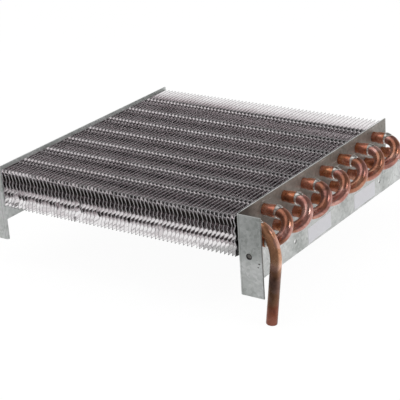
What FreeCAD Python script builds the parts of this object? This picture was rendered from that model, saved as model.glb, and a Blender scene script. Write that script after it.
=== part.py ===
"""Finned condenser coil: one serpentine of copper tube through a pack of aluminium fins.

The gas enters the first upper tube, crosses the fin pack to the left plate, turns round in
a hairpin and comes back one place lower and half a pitch deeper. A return bend at the right
plate lifts it to the next upper tube, until it leaves by the last lower tube.

Frame, in millimetres: +X points right along the tubes, +Y points back through the fins and
+Z points up. The origin is midway between the two screw holes of the front flanges, on
their front face.
"""
import FreeCAD, Part
import math
import os
import re

import Sketcher

Vector = FreeCAD.Vector

# Driving sizes: name, value in millimetres, degrees or a count, and what it is.
SIZES = [
    ("tube_diameter", 9.525, "outside of the copper tube, three eighths of an inch"),
    ("tube_wall", 0.4, "wall of the copper tube"),
    ("tube_columns", 8, "tubes in each of the two rows"),
    ("tube_pitch", 31.75, "distance between tubes in a row, an inch and a quarter"),
    ("row_gap", 19.8, "height of the upper row over the lower row"),
    ("row_middle_height", 49.7, "middle between the two rows over the foot"),
    ("first_tube_setback", 7.94, "first upper tube behind the front face of the flanges"),
    ("plate_apart", 250, "clear width between the two end plates"),
    ("plate_gauge", 1.2, "thickness of the steel sheet"),
    ("plate_height", 70, "height of the end plates over their foot"),
    ("strip_height", 19.2, "height of the strip of web below the fins, which the left plate lacks"),
    ("strip_overrun", 31.75, "how far the right plate's strip runs on behind its web"),
    ("flange_reach", 21.5, "how far a front flange stands out from its web"),
    ("fold_radius", 1.2, "inside radius of the fold in the steel sheet"),
    ("screw_hole_diameter", 4, "holes for screws in the flanges and the right web"),
    ("screw_hole_reach", 9.2, "flange hole from the outside of the web"),
    ("screw_hole_height", 35, "flange hole over the foot"),
    ("side_hole_height", 12.3, "screw holes of the right web over the foot"),
    ("side_hole_setback", 86.2, "first of those holes behind the front face"),
    ("side_hole_apart", 154, "distance between those holes"),
    ("hole_clearance", 0.15, "gap all round a tube in the plates and the fins"),
    ("fin_count", 62, "number of fins"),
    ("fin_gauge", 0.2, "thickness of a fin"),
    ("fin_height", 35.6, "height of a fin"),
    ("fin_setback", 1, "fins behind the front face of the flanges, and in front of the webs' back edge"),
    ("fin_end_gap", 0.9, "gap between the outermost fins and the plates"),
    ("hairpin_standoff", 3, "straight part of a hairpin outside the left plate"),
    ("mouth_reach", 12.6, "how far the opened tube ends stand out of the right plate"),
    ("mouth_depth", 7, "depth of an opened tube end"),
    ("mouth_taper", 1.5, "length over which a tube widens to its opened end"),
    ("joint_clearance", 0.1, "gap all round a tube in an opened tube end"),
    ("joint_depth", 6.5, "how deep a bend or pipe sits in an opened tube end"),
    ("bend_stub", 0.6, "straight part of a bend outside the opened tube ends"),
    ("braze_length", 1.5, "length of a ring of brazing metal"),
    ("braze_clearance", 0.05, "gap between a ring of brazing metal and its tube"),
    ("braze_edge", 0.15, "thickness left at the thin end of a ring"),
    ("inlet_tight_radius", 13.2, "radius of the inlet pipe's first bend"),
    ("inlet_tight_angle", 64, "angle of its first bend in degrees"),
    ("inlet_wide_radius", 42.2, "radius of its second bend"),
    ("inlet_wide_angle", 33.2, "angle of its second bend in degrees"),
    ("inlet_end_drop", 24.4, "middle of the inlet pipe's end under the foot"),
    ("outlet_reach", 40, "end of the outlet pipe from the outside of the right plate"),
    ("label_length", 40, "length of a paper label"),
    ("label_height", 14.5, "height of a paper label"),
    ("label_gauge", 0.15, "thickness of a paper label"),
    ("label_middle_height", 9.2, "middle of the labels over the foot"),
    ("front_label_setback", 127.5, "middle of the front label behind the front face"),
    ("back_label_setback", 210.6, "middle of the back label behind the front face"),
    ("front_label_angle", 2, "how far the front label sits askew in degrees"),
]

# Sizes that follow from the driving ones.
DERIVED = [
    ("tube_radius", "tube_diameter / 2"),
    ("bore_radius", "tube_radius - tube_wall"),
    ("hole_radius", "tube_radius + hole_clearance"),
    ("screw_hole_radius", "screw_hole_diameter / 2"),
    ("mouth_bore_radius", "tube_radius + joint_clearance"),
    ("mouth_radius", "mouth_bore_radius + tube_wall"),
    ("half_pitch", "tube_pitch / 2"),
    ("plate_depth", "tube_pitch * tube_columns"),
    ("fin_depth", "plate_depth - 2 * fin_setback"),
    ("half_gap", "row_gap / 2"),
    ("bend_radius", "sqrt(half_pitch ^ 2 + row_gap ^ 2) / 2"),
    ("bend_slant", "atan(row_gap / half_pitch) / 1 deg"),
    ("web_inside", "plate_apart / 2"),
    ("web_outside", "web_inside + plate_gauge"),
    ("flange_tip", "web_outside + flange_reach"),
    ("foot_level", "0 - screw_hole_height"),
    ("row_middle", "foot_level + row_middle_height"),
    ("upper_row", "row_middle + half_gap"),
    ("lower_row", "row_middle - half_gap"),
    ("mouth_end", "web_outside + mouth_reach"),
    ("hairpin_centre", "0 - web_outside - hairpin_standoff"),
    ("hairpin_end", "mouth_end - hairpin_centre"),
    ("mouth_flare", "hairpin_end - mouth_depth"),
    ("mouth_start", "mouth_flare - mouth_taper"),
    ("bend_leg", "joint_depth + bend_stub"),
    ("row_spread", "tube_pitch * (tube_columns - 1)"),
    ("fin_start", "fin_end_gap - web_inside"),
    ("fin_spread", "plate_apart - 2 * fin_end_gap - fin_gauge"),
]

NAMES = [size[0] for size in SIZES + DERIVED]


def write_sheet(document):
    """A sheet with one row for each size: its value or formula, and its meaning."""
    sheet = document.addObject("Spreadsheet::Sheet", "sizes")
    row = 0
    for name, number, meaning in SIZES:
        row += 1
        sheet.set(f"A{row}", str(number))
        sheet.setAlias(f"A{row}", name)
        sheet.set(f"B{row}", meaning)
    for name, formula in DERIVED:
        row += 1
        sheet.set(f"A{row}", "=" + formula)
        sheet.setAlias(f"A{row}", name)
    document.recompute()
    return sheet


doc = FreeCAD.newDocument("condenser_coil")
sizes = write_sheet(doc)


def value(formula):
    """The present value of a formula over the sheet's names."""
    return float(sizes.evalExpression(formula))


def bind(thing, prop, formula):
    """Tie a property to a formula over the sheet's names."""
    def cell(match):
        word = match.group()
        return f"<<sizes>>.{word}" if word in NAMES else word
    thing.setExpression(prop, re.sub(r"[a-z_]+", cell, formula))


def new_body(label, across="0", depth="0", up="0", slant="0"):
    """A body placed by formulas, and turned about the direction of the tubes."""
    body = doc.addObject("PartDesign::Body", label)
    body.Label = label
    body.Placement = FreeCAD.Placement(Vector(), FreeCAD.Rotation(Vector(1, 0, 0), value(slant)))
    bind(body, "Placement.Base.x", across)
    bind(body, "Placement.Base.y", depth)
    bind(body, "Placement.Base.z", up)
    if slant != "0":
        bind(body, "Placement.Rotation.Angle", slant)
    return body


def new_sketch(body, name, role, offset=("0", "0", "0")):
    """A sketch on one of the body's own planes, moved along the sketch's axes."""
    planes = body.Origin.OriginFeatures
    plane = [feature for feature in planes if feature.Role == role][0]
    sketch = body.newObject("Sketcher::SketchObject", name)
    sketch.AttachmentSupport = (plane, [""])
    sketch.MapMode = "FlatFace"
    for axis, formula in zip("xyz", offset):
        bind(sketch, f"AttachmentOffset.Base.{axis}", formula)
    return sketch


def measure(sketch, kind, place, formula):
    """Tie a sketched radius, angle, or point's distance from the origin to a formula."""
    turned = math.radians if kind == "Angle" else float
    constraint = Sketcher.Constraint(kind, *place, turned(value(formula)))
    index = sketch.addConstraint(constraint)
    bind(sketch, f"Constraints[{index}]", formula + (" * 1 deg" if kind == "Angle" else ""))


def locate(sketch, edge, point, across, up):
    """Tie one point of an edge to two formulas."""
    measure(sketch, "DistanceX", (-1, 1, edge, point), across)
    measure(sketch, "DistanceY", (-1, 1, edge, point), up)


def draw_polygon(sketch, corners):
    """A closed outline of straight edges; its corners are pairs of formulas."""
    points = [Vector(value(across), value(up), 0) for across, up in corners]
    first = sketch.GeometryCount
    for start, end in zip(points, points[1:] + points[:1]):
        sketch.addGeometry(Part.LineSegment(start, end), False)
    for i, (across, up) in enumerate(corners):
        before = first + (i - 1) % len(corners)
        sketch.addConstraint(Sketcher.Constraint("Coincident", before, 2, first + i, 1))
        locate(sketch, first + i, 1, across, up)


def draw_rectangle(sketch, left, bottom, right, top):
    """A rectangle between two corners."""
    draw_polygon(sketch, [(left, bottom), (right, bottom), (right, top), (left, top)])


def draw_circle(sketch, across, up, radius):
    """A circle with its centre and radius."""
    centre = Vector(value(across), value(up), 0)
    edge = sketch.addGeometry(Part.Circle(centre, Vector(0, 0, 1), value(radius)), False)
    locate(sketch, edge, 3, across, up)
    measure(sketch, "Radius", (edge,), radius)


def draw_tube_section(sketch, across="0"):
    """The section of the copper tube, its wall between two circles."""
    draw_circle(sketch, across, "0", "tube_radius")
    draw_circle(sketch, across, "0", "bore_radius")


def add_feature(body, kind, name, **settings):
    """A feature of a body, which becomes the body's tip."""
    doc.recompute()
    feature = body.newObject(f"PartDesign::{kind}", name)
    for prop, setting in settings.items():
        setattr(feature, prop, setting)
    body.Tip = feature
    return feature


def add_pad(body, sketch, length):
    """Thicken a sketch along its normal."""
    pad = add_feature(body, "Pad", f"{sketch.Name}_pad", Profile=sketch)
    bind(pad, "Length", length)
    return pad


def add_cut(body, sketch):
    """Cut a sketch right through the body, both ways."""
    return add_feature(body, "Pocket", f"{sketch.Name}_cut", Profile=sketch, Type=1, Midplane=True)


def add_turned(body, sketch):
    """Turn a sketch once round its own first axis."""
    axis = (sketch, ["H_Axis"])
    return add_feature(body, "Revolution", f"{sketch.Name}_turned", Profile=sketch, ReferenceAxis=axis)


def add_swept(body, path, edges, section):
    """Sweep a section along the edges of a path."""
    spine = (path, [f"Edge{number + 1}" for number in range(edges)])
    return add_feature(body, "AdditivePipe", f"{path.Name}_tube", Profile=section, Spine=spine)


def repeat_by_column(body, features, sketch, axis):
    """Repeat features once for each column of tubes."""
    row = add_feature(body, "LinearPattern", "columns", Originals=features, Direction=(sketch, [axis]))
    bind(row, "Length", "row_spread")
    bind(row, "Occurrences", "tube_columns")
    return row


# End plates. Each is one sheet folded at the front: its web faces the fins, and its flange
# turns away from them.
def make_end_plate(label, side):
    """An end plate; side is 1 for the right plate and -1 for the left one."""
    body = new_body(label, up="foot_level")
    inside, outside, tip = f"{side} * web_inside", f"{side} * web_outside", f"{side} * flange_tip"
    profile = new_sketch(body, f"{label}_profile", "XY_Plane")
    draw_polygon(profile, [(inside, "0"), (tip, "0"), (tip, "plate_gauge"), (outside, "plate_gauge"),
                           (outside, "plate_depth"), (inside, "plate_depth")])
    add_pad(body, profile, "plate_height")
    fold_sheet(body, f"{label}_outer_fold", side * value("web_inside"), 0, "fold_radius + plate_gauge")
    fold_sheet(body, f"{label}_inner_fold", side * value("web_outside"), value("plate_gauge"), "fold_radius")
    if side < 0:
        cut_off_strip(body, inside, outside)
    else:
        extend_strip(body, inside, outside)
        pierce_side_holes(body)
    pierce_flange(body, side)
    pierce_web(body)
    return body


def fold_sheet(body, name, across, depth, radius):
    """Round the upright edge that stands at one place."""
    doc.recompute()
    edges = []
    for number, edge in enumerate(body.Shape.Edges, start=1):
        foot, top = edge.Vertexes[0].Point, edge.Vertexes[-1].Point
        upright = math.hypot(foot.x - top.x, foot.y - top.y) < 1e-6
        if upright and math.hypot(foot.x - across, foot.y - depth) < 1e-6:
            edges.append(f"Edge{number}")
    fillet = add_feature(body, "Fillet", name, Base=(body.Tip, edges))
    bind(fillet, "Radius", radius)


def cut_off_strip(body, inside, outside):
    """Cut the strip off the web behind the fold, and leave the flange whole."""
    strip = new_sketch(body, "missing_strip", "XY_Plane")
    draw_rectangle(strip, inside, "plate_gauge + fold_radius", outside, "plate_depth + plate_gauge")
    cut = add_feature(body, "Pocket", "missing_strip_cut", Profile=strip, Reversed=True)
    bind(cut, "Length", "strip_height")


def extend_strip(body, inside, outside):
    """Let the strip run on behind the web."""
    strip = new_sketch(body, "strip_end", "XY_Plane")
    draw_rectangle(strip, inside, "plate_depth - plate_gauge", outside, "plate_depth + strip_overrun")
    add_pad(body, strip, "strip_height")


def pierce_side_holes(body):
    """Two screw holes in the strip of web below the tubes."""
    holes = new_sketch(body, "side_holes", "YZ_Plane")
    draw_circle(holes, "side_hole_setback", "side_hole_height", "screw_hole_radius")
    draw_circle(holes, "side_hole_setback + side_hole_apart", "side_hole_height", "screw_hole_radius")
    add_cut(body, holes)


def pierce_flange(body, side):
    """The screw hole of the front flange."""
    hole = new_sketch(body, f"{body.Label}_flange_hole", "XZ_Plane")
    reach = f"{side} * (web_outside + screw_hole_reach)"
    draw_circle(hole, reach, "screw_hole_height", "screw_hole_radius")
    add_cut(body, hole)


def pierce_web(body):
    """The tube holes: one upper and one lower hole in each column."""
    holes = new_sketch(body, f"{body.Label}_tube_holes", "YZ_Plane")
    upper, lower = "row_middle_height + half_gap", "row_middle_height - half_gap"
    draw_circle(holes, "first_tube_setback", upper, "hole_radius")
    draw_circle(holes, "first_tube_setback + half_pitch", lower, "hole_radius")
    cut = add_cut(body, holes)
    repeat_by_column(body, [cut], holes, "H_Axis")


# Fins. One sheet is pierced by a window for each tube, and the whole sheet is repeated from
# plate to plate. A window is square, just clear of its tube, to keep the faces few.
def make_fins():
    """The pack of fins, each a separate sheet."""
    body = new_body("fins", "fin_start", "first_tube_setback", "row_middle")
    body.AllowCompound = True
    outline = new_sketch(body, "fin_outline", "YZ_Plane")
    front, half_height = "fin_setback - first_tube_setback", "fin_height / 2"
    draw_rectangle(outline, front, f"0 - {half_height}", f"{front} + fin_depth", half_height)
    add_pad(body, outline, "fin_gauge")
    windows = new_sketch(body, "fin_windows", "YZ_Plane")
    for across, up in (("0", "half_gap"), ("half_pitch", "0 - half_gap")):
        draw_rectangle(windows, f"{across} - hole_radius", f"{up} - hole_radius",
                       f"{across} + hole_radius", f"{up} + hole_radius")
    cut = add_cut(body, windows)
    repeat_by_column(body, [cut], windows, "H_Axis")
    stack = add_feature(body, "LinearPattern", "stack", TransformMode="Whole shape", Refine=False,
                        Direction=(outline, ["N_Axis"]))
    bind(stack, "Length", "fin_spread")
    bind(stack, "Occurrences", "fin_count")
    return body


# Copper tubes. A bend is drawn in its own plane with its arc about the origin and its two
# legs along X, and the body is then slanted so that the legs reach the two rows.
def draw_bend(sketch, end, turned_left):
    """The middle line of a bend; its legs run from the arc to end."""
    half, leg = value("bend_radius"), value(end)
    start_angle = math.pi / 2 if turned_left else -math.pi / 2
    circle = Part.Circle(Vector(), Vector(0, 0, 1), half)
    upper = sketch.addGeometry(Part.LineSegment(Vector(leg, half, 0), Vector(0, half, 0)), False)
    arc = sketch.addGeometry(Part.ArcOfCircle(circle, start_angle, start_angle + math.pi), False)
    lower = sketch.addGeometry(Part.LineSegment(Vector(0, -half, 0), Vector(leg, -half, 0)), False)
    arc_top, arc_foot = (1, 2) if turned_left else (2, 1)
    sketch.addConstraint(Sketcher.Constraint("Coincident", arc, 3, -1, 1))
    sketch.addConstraint(Sketcher.Constraint("Coincident", upper, 2, arc, arc_top))
    sketch.addConstraint(Sketcher.Constraint("Coincident", lower, 1, arc, arc_foot))
    sketch.addConstraint(Sketcher.Constraint("PointOnObject", arc, 1, -2))
    sketch.addConstraint(Sketcher.Constraint("PointOnObject", arc, 2, -2))
    sketch.addConstraint(Sketcher.Constraint("Horizontal", upper))
    sketch.addConstraint(Sketcher.Constraint("Horizontal", lower))
    measure(sketch, "Radius", (arc,), "bend_radius")
    measure(sketch, "DistanceX", (-1, 1, upper, 1), end)
    measure(sketch, "DistanceX", (-1, 1, lower, 2), end)


def sweep_bend(body, end, turned_left):
    """The tube of a bend, from the end of one leg to the end of the other."""
    path = new_sketch(body, f"{body.Label}_path", "XY_Plane")
    draw_bend(path, end, turned_left)
    section = new_sketch(body, f"{body.Label}_section", "YZ_Plane", ("0", "0", end))
    draw_tube_section(section, "bend_radius")
    add_swept(body, path, 3, section)


def make_hairpin(column):
    """A hairpin: two legs through plates and fins, opened at their right ends."""
    middle = f"first_tube_setback + half_pitch / 2 + {column} * tube_pitch"
    body = new_body(f"hairpin_{column + 1}", "hairpin_centre", middle, "row_middle", "180 - bend_slant")
    sweep_bend(body, "mouth_start", turned_left=True)
    for name, leg in (("upper", "bend_radius"), ("lower", "0 - bend_radius")):
        mouth = new_sketch(body, f"{body.Label}_{name}_mouth", "XY_Plane", ("0", leg, "0"))
        draw_polygon(mouth, [("mouth_start", "bore_radius"), ("mouth_flare", "mouth_bore_radius"),
                             ("hairpin_end", "mouth_bore_radius"), ("hairpin_end", "mouth_radius"),
                             ("mouth_flare", "mouth_radius"), ("mouth_start", "tube_radius")])
        add_turned(body, mouth)
    return body


def make_return_bend(column):
    """A return bend: from the lower tube of the column in front to this column's upper tube."""
    middle = f"first_tube_setback - half_pitch / 2 + {column} * tube_pitch"
    body = new_body(f"return_bend_{column}", "mouth_end + bend_stub", middle, "row_middle", "bend_slant")
    sweep_bend(body, "0 - bend_leg", turned_left=False)
    return body


def make_inlet_pipe():
    """The inlet pipe: out of the first upper tube, then down in two blended turns."""
    body = new_body("inlet_pipe", "mouth_end", "first_tube_setback", "upper_row")
    path = new_sketch(body, "inlet_path", "XZ_Plane")
    angle_one, angle_two = math.radians(value("inlet_tight_angle")), math.radians(value("inlet_wide_angle"))
    tight, wide = value("inlet_tight_radius"), value("inlet_wide_radius")
    start = Vector(value("bend_stub"), 0, 0)
    centre_one = start - Vector(0, tight, 0)
    towards = Vector(math.sin(angle_one), math.cos(angle_one), 0)
    centre_two = centre_one + towards * (tight - wide)
    heading = angle_one + angle_two
    bend_end = centre_two + Vector(math.sin(heading), math.cos(heading), 0) * wide
    foot = value("foot_level - inlet_end_drop - upper_row")
    run = (bend_end.y - foot) / math.sin(heading)
    pipe_end = bend_end + Vector(math.cos(heading), -math.sin(heading), 0) * run
    up_from = math.pi / 2 - angle_one
    first = Part.ArcOfCircle(Part.Circle(centre_one, Vector(0, 0, 1), tight), up_from, math.pi / 2)
    second = Part.ArcOfCircle(Part.Circle(centre_two, Vector(0, 0, 1), wide), up_from - angle_two, up_from)
    joint = Vector(-value("joint_depth"), 0, 0)
    path.addGeometry([Part.LineSegment(joint, start), first, second, Part.LineSegment(bend_end, pipe_end)])
    path.addConstraint(Sketcher.Constraint("PointOnObject", 0, 1, -1))
    path.addConstraint(Sketcher.Constraint("Horizontal", 0))
    path.addConstraint(Sketcher.Constraint("Tangent", 0, 2, 1, 2))
    path.addConstraint(Sketcher.Constraint("Tangent", 1, 1, 2, 2))
    path.addConstraint(Sketcher.Constraint("Tangent", 2, 1, 3, 1))
    measure(path, "DistanceX", (-1, 1, 0, 1), "0 - joint_depth")
    measure(path, "DistanceX", (-1, 1, 0, 2), "bend_stub")
    measure(path, "Radius", (1,), "inlet_tight_radius")
    measure(path, "Radius", (2,), "inlet_wide_radius")
    measure(path, "Angle", (1,), "inlet_tight_angle")
    measure(path, "Angle", (2,), "inlet_wide_angle")
    measure(path, "DistanceY", (-1, 1, 3, 2), "foot_level - inlet_end_drop - upper_row")
    section = new_sketch(body, "inlet_section", "YZ_Plane", ("0", "0", "0 - joint_depth"))
    draw_tube_section(section)
    add_swept(body, path, 4, section)
    return body


def make_outlet_pipe():
    """The outlet pipe: straight out of the last lower tube."""
    body = new_body("outlet_pipe", "mouth_end", "first_tube_setback + half_pitch + row_spread", "lower_row")
    section = new_sketch(body, "outlet_section", "YZ_Plane", ("0", "0", "0 - joint_depth"))
    draw_tube_section(section)
    add_pad(body, section, "joint_depth + outlet_reach - mouth_reach")
    return body


# Brazing metal: a ring with a sloping outside on the rim of every opened tube end.
def make_brazing_rings():
    """All the rings, two in each column."""
    body = new_body("brazing_rings", "mouth_end", "first_tube_setback", "upper_row")
    body.AllowCompound = True
    rings = []
    places = (("upper_ring", "0", "0"), ("lower_ring", "half_pitch", "0 - row_gap"))
    for name, depth, up in places:
        ring = new_sketch(body, name, "XY_Plane", ("0", depth, up))
        draw_polygon(ring, [("0", "tube_radius + braze_clearance"),
                            ("braze_length", "tube_radius + braze_clearance"),
                            ("braze_length", "tube_radius + braze_clearance + braze_edge"),
                            ("0", "mouth_radius")])
        rings.append(add_turned(body, ring))
    repeat_by_column(body, rings, ring, "V_Axis")
    return body


# Labels: two blank papers on the outside of the right plate.
def make_labels():
    """The two paper labels, the front one a little askew."""
    body = new_body("blank_labels", "web_outside", "0", "foot_level + label_middle_height")
    body.AllowCompound = True
    places = (("front_label", "front_label_setback", "front_label_angle"),
              ("back_label", "back_label_setback", "0"))
    for name, setback, turn in places:
        label = new_sketch(body, name, "YZ_Plane", (setback, "0", "0"))
        bind(label, "AttachmentOffset.Rotation.Angle", turn)
        half_length, half_height = "label_length / 2", "label_height / 2"
        draw_rectangle(label, f"0 - {half_length}", f"0 - {half_height}", half_length, half_height)
        add_pad(body, label, "label_gauge")
    return body


columns = int(value("tube_columns"))
parts = [make_end_plate("end_plate_right", 1), make_end_plate("end_plate_left", -1), make_fins()]
parts += [make_hairpin(column) for column in range(columns)]
parts += [make_return_bend(column) for column in range(1, columns)]
parts += [make_inlet_pipe(), make_outlet_pipe(), make_brazing_rings(), make_labels()]
doc.recompute()

for thing in doc.Objects:
    if "Invalid" in thing.State or "Error" in thing.State:
        raise RuntimeError(f"{thing.Label} failed: {thing.State}")

for part in parts:
    if part.Shape.isNull() or not part.Shape.isValid():
        raise RuntimeError(f"{part.Label} has no valid shape")

os.makedirs("parts", exist_ok=True)
for part in parts:
    part.Shape.exportStep(f"parts/{part.Label}.step")
    print(f"{part.Label}: {len(part.Shape.Solids)} solids, {part.Shape.Volume:.1f} cubic mm")
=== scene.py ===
"""Dresses the finned condenser coil: fins, end plates, copper tubes, brazing and labels.

Metres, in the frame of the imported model: +X right along the tubes, +Y back through the
fins, +Z up, with the origin between the two screw holes of the front flanges.
"""
import math

import bpy
import numpy as np
from mathutils import Matrix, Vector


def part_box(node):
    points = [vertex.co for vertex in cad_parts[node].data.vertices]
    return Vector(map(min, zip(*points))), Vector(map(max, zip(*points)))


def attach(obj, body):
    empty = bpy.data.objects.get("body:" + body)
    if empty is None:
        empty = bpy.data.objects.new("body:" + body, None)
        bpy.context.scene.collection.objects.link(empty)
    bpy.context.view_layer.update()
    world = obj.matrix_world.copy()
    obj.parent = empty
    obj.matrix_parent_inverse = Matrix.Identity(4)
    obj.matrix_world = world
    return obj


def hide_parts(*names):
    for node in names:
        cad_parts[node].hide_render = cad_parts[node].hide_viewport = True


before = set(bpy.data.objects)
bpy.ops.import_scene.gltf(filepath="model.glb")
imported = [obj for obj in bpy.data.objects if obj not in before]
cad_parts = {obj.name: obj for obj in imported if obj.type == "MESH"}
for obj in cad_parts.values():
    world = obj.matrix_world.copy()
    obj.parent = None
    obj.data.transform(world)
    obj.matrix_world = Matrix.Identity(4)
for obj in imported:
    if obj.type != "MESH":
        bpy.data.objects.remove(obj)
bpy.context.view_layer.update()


# Fins. Sixty-two thin sheets of soft aluminium, pressed into waves that run the length of
# the pack and pierced for sixteen tubes. A drawn collar round each hole grips the tube and
# keeps the next sheet at its distance.
tube_count, tube_pitch, first_tube = 16, 0.03175, 0.00794
upper_row, lower_row, row_gap = 0.0246, 0.0048, 0.0198
row_middle = (upper_row + lower_row) / 2
fin_count, fin_gauge = 62, 0.0002
fin_low, fin_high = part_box("fins")
fin_spacing = (fin_high.x - fin_low.x - fin_gauge) / (fin_count - 1)
facet_height, wave_depth = 0.00445, 0.00078
land_radius, land_fade = 0.0050, 0.0020
collar_outside, collar_inside = 0.00491, 0.00480
collar_length, room_at_plate = 0.0042, 0.0008
burr_width, front_burr = 0.00025, 0.00070
front_sway, top_sway, low_sway, ragged_edge = 0.00022, 0.00004, 0.00020, 0.00042

# Places where a front edge was knocked: X, Z, how far it leans and its reach in Z. The last
# one holds the end fin off the right plate.
knocks = [(-0.0392, 0.0090, 0.0027, 0.0070), (-0.0440, 0.0010, -0.0014, 0.0045),
          (-0.1060, 0.0060, 0.0024, 0.0050), (-0.1140, 0.0030, -0.0013, 0.0040),
          (-0.0172, 0.0050, 0.0023, 0.0050), (0.0450, 0.0060, -0.0016, 0.0040),
          (0.0840, -0.0010, 0.0016, 0.0030), (-0.0720, 0.0000, 0.0019, 0.0035),
          (0.0130, 0.0020, 0.0016, 0.0040), (-0.0640, 0.0080, -0.0014, 0.0040),
          (0.1240, 0.0110, -0.0018, 0.0300)]
knock_width, knock_depth = 0.0026, 0.0035


def fin_sheet():
    """One fin as a grid: six columns to each tube, and a row on every ridge and between them.

    The grid lines nearest to a hole are moved onto its circle, evenly spaced, and the cells
    inside it are left out. Returns the grid's Y and Z, the cells that stay, and the holes.
    """
    near, far = 0.0025, 0.0049
    column_steps = np.array([-tube_pitch / 4, -far, -near, 0, near, far])
    centres = first_tube + tube_pitch / 2 * np.arange(tube_count)
    columns = (centres[:, None] + column_steps).ravel()[1:]
    columns = np.concatenate([[fin_low.y, fin_low.y + front_burr], columns,
                              [fin_high.y - burr_width, fin_high.y]])
    edge = fin_high.z - row_middle
    past_ridges = [0.0145, 0.0155, edge - burr_width, edge]
    half = np.append(facet_height * np.arange(0, 3.5, 0.5), past_ridges)
    rows = row_middle + np.concatenate([-half[:0:-1], half])
    Y, Z = np.meshgrid(columns, rows, indexing="ij")

    cells_across, cells_up, rows_off_middle = 4, 6, 2
    rim_size, lower_left = 2 * (cells_across + cells_up), -126
    middle = len(half) - 1
    keep = np.ones((len(columns) - 1, len(rows) - 1), bool)
    holes = []
    for number, y in enumerate(centres):
        is_upper = number % 2 == 0
        z = upper_row if is_upper else lower_row
        left = 2 + number * len(column_steps)
        low = middle + rows_off_middle if is_upper else middle - rows_off_middle - cells_up
        right, high = left + cells_across, low + cells_up
        keep[left:right, low:high] = False
        rim = [(i, low) for i in range(left, right)]
        rim += [(right, i) for i in range(low, high)]
        rim += [(i, high) for i in range(right, left, -1)]
        rim += [(left, i) for i in range(high, low, -1)]
        rim = np.array(rim).T
        angle = np.radians(lower_left + 360 / rim_size * np.arange(rim_size))
        Y[rim[0], rim[1]] = y + collar_outside * np.cos(angle)
        Z[rim[0], rim[1]] = z + collar_outside * np.sin(angle)
        holes.append((rim, y, z, angle))
    return Y, Z, keep, holes


def wave_height(Y, Z, holes):
    """A zigzag over Z, with a ridge every facet_height, that fades to a flat land round each hole.

    The lowest strip stays flat and the top strip leans a little less than the others.
    """
    last_ridge, top_lean = 3, 0.8
    nearest = np.full(Y.shape, 1.0)
    for _, y, z, _ in holes:
        nearest = np.minimum(nearest, np.hypot(Y - y, Z - z))
    land = np.clip((nearest - land_radius) / land_fade, 0, 1)
    from_middle = (Z - row_middle) / facet_height
    top_strip = last_ridge + top_lean * (from_middle - last_ridge)
    below = np.minimum(np.abs(from_middle), last_ridge)
    ridges = np.where(from_middle > last_ridge, top_strip, below)
    zigzag = 2 * np.abs(np.mod(ridges, 2) - 1) - 1
    return wave_depth * land * zigzag


def fin_lean(x, Y, Z):
    """How far a fin at x is pushed aside: sines of x, each times a fade in Y or Z, and knocks.

    The front edge, the top edge and the lowest strip sway slowly, and low on the left half of
    the front each fin leans its own way. A knock is a bell in X and Z. What leans in front
    dies away exponentially towards the back.
    """
    depth = Y - fin_low.y
    near_top = np.clip((Z - 0.0270) / 0.0055, 0, 1)
    lowest_strip = np.clip((fin_low.z + 0.006 - Z) / 0.006, 0, 1)
    left_half, low_down = np.clip((0.04 - x) / 0.08, 0, 1), np.clip((0.010 - Z) / 0.006, 0, 1)
    lean = front_sway * np.sin(61 * x + 3 * np.sin(140 * x)) * np.exp(-depth / 0.004)
    lean = lean + top_sway * np.sin(83 * x + 27 * Y + 1.3) * near_top
    lean = lean - low_sway * np.sin(47 * x + 2) * lowest_strip
    ragged = ragged_edge * np.sin(1930 * x) * left_half * low_down
    lean = lean + ragged * np.exp(-depth / 0.003)
    for at, height, push, reach in knocks:
        bell = np.exp(-((x - at) / knock_width) ** 2 - ((Z - height) / reach) ** 2)
        lean = lean + push * bell * np.exp(-depth / knock_depth)
    return lean


def fill_mesh(name, points, quads, sharp=None):
    """A new object from arrays of points and four-cornered faces.

    It is shaded smooth, apart from edges over an angle of `sharp` degrees.
    """
    mesh = bpy.data.meshes.new(name)
    mesh.vertices.add(len(points))
    mesh.vertices.foreach_set("co", np.ascontiguousarray(points, np.float32).ravel())
    mesh.loops.add(quads.size)
    mesh.loops.foreach_set("vertex_index", np.ascontiguousarray(quads, np.int32).ravel())
    mesh.polygons.add(len(quads))
    mesh.polygons.foreach_set("loop_start", np.arange(0, quads.size, 4, dtype=np.int32))
    mesh.polygons.foreach_set("use_smooth", np.ones(len(quads), bool))
    mesh.update(calc_edges=True)
    mesh.validate()
    if sharp:
        mesh.set_sharp_from_angle(angle=math.radians(sharp))
    piece = bpy.data.objects.new(name, mesh)
    bpy.context.scene.collection.objects.link(piece)
    return piece


def colour(code):
    """An sRGB hex colour as linear red, green and blue with full alpha."""
    srgb = np.array([int(code[i:i + 2], 16) for i in (1, 3, 5)]) / 255
    linear = np.where(srgb <= 0.04045, srgb / 12.92, ((srgb + 0.055) / 1.055) ** 2.4)
    return (*linear, 1.0)


def add_node(material, kind, settings=None, stops=(), **inputs):
    """Add one node; settings are its own properties, inputs are values or output sockets.

    An input is given by its name, or by its number, as in _0. The stops of a colour ramp are
    pairs of a place from 0 to 1 and a hex colour.
    """
    node = material.node_tree.nodes.new("ShaderNode" + kind)
    for name, setting in (settings or {}).items():
        setattr(node, name, setting)
    for name, given in inputs.items():
        number = name[1:]
        socket = node.inputs[int(number) if number.isdigit() else name.replace("_", " ")]
        if isinstance(given, bpy.types.NodeSocket):
            material.node_tree.links.new(given, socket)
        else:
            socket.default_value = given
    if stops:
        band = node.color_ramp
        band.interpolation = "EASE"
        while len(band.elements) < len(stops):
            band.elements.new(0.5)
        for element, (place, code) in zip(band.elements, stops):
            element.position, element.color = place, colour(code)
    return node


def new_material(name):
    """An empty node material, and the object coordinates for its patterns."""
    material = bpy.data.materials.new(name)
    material.use_nodes = True
    material.node_tree.nodes.clear()
    return material, add_node(material, "TexCoord").outputs["Object"]


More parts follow.
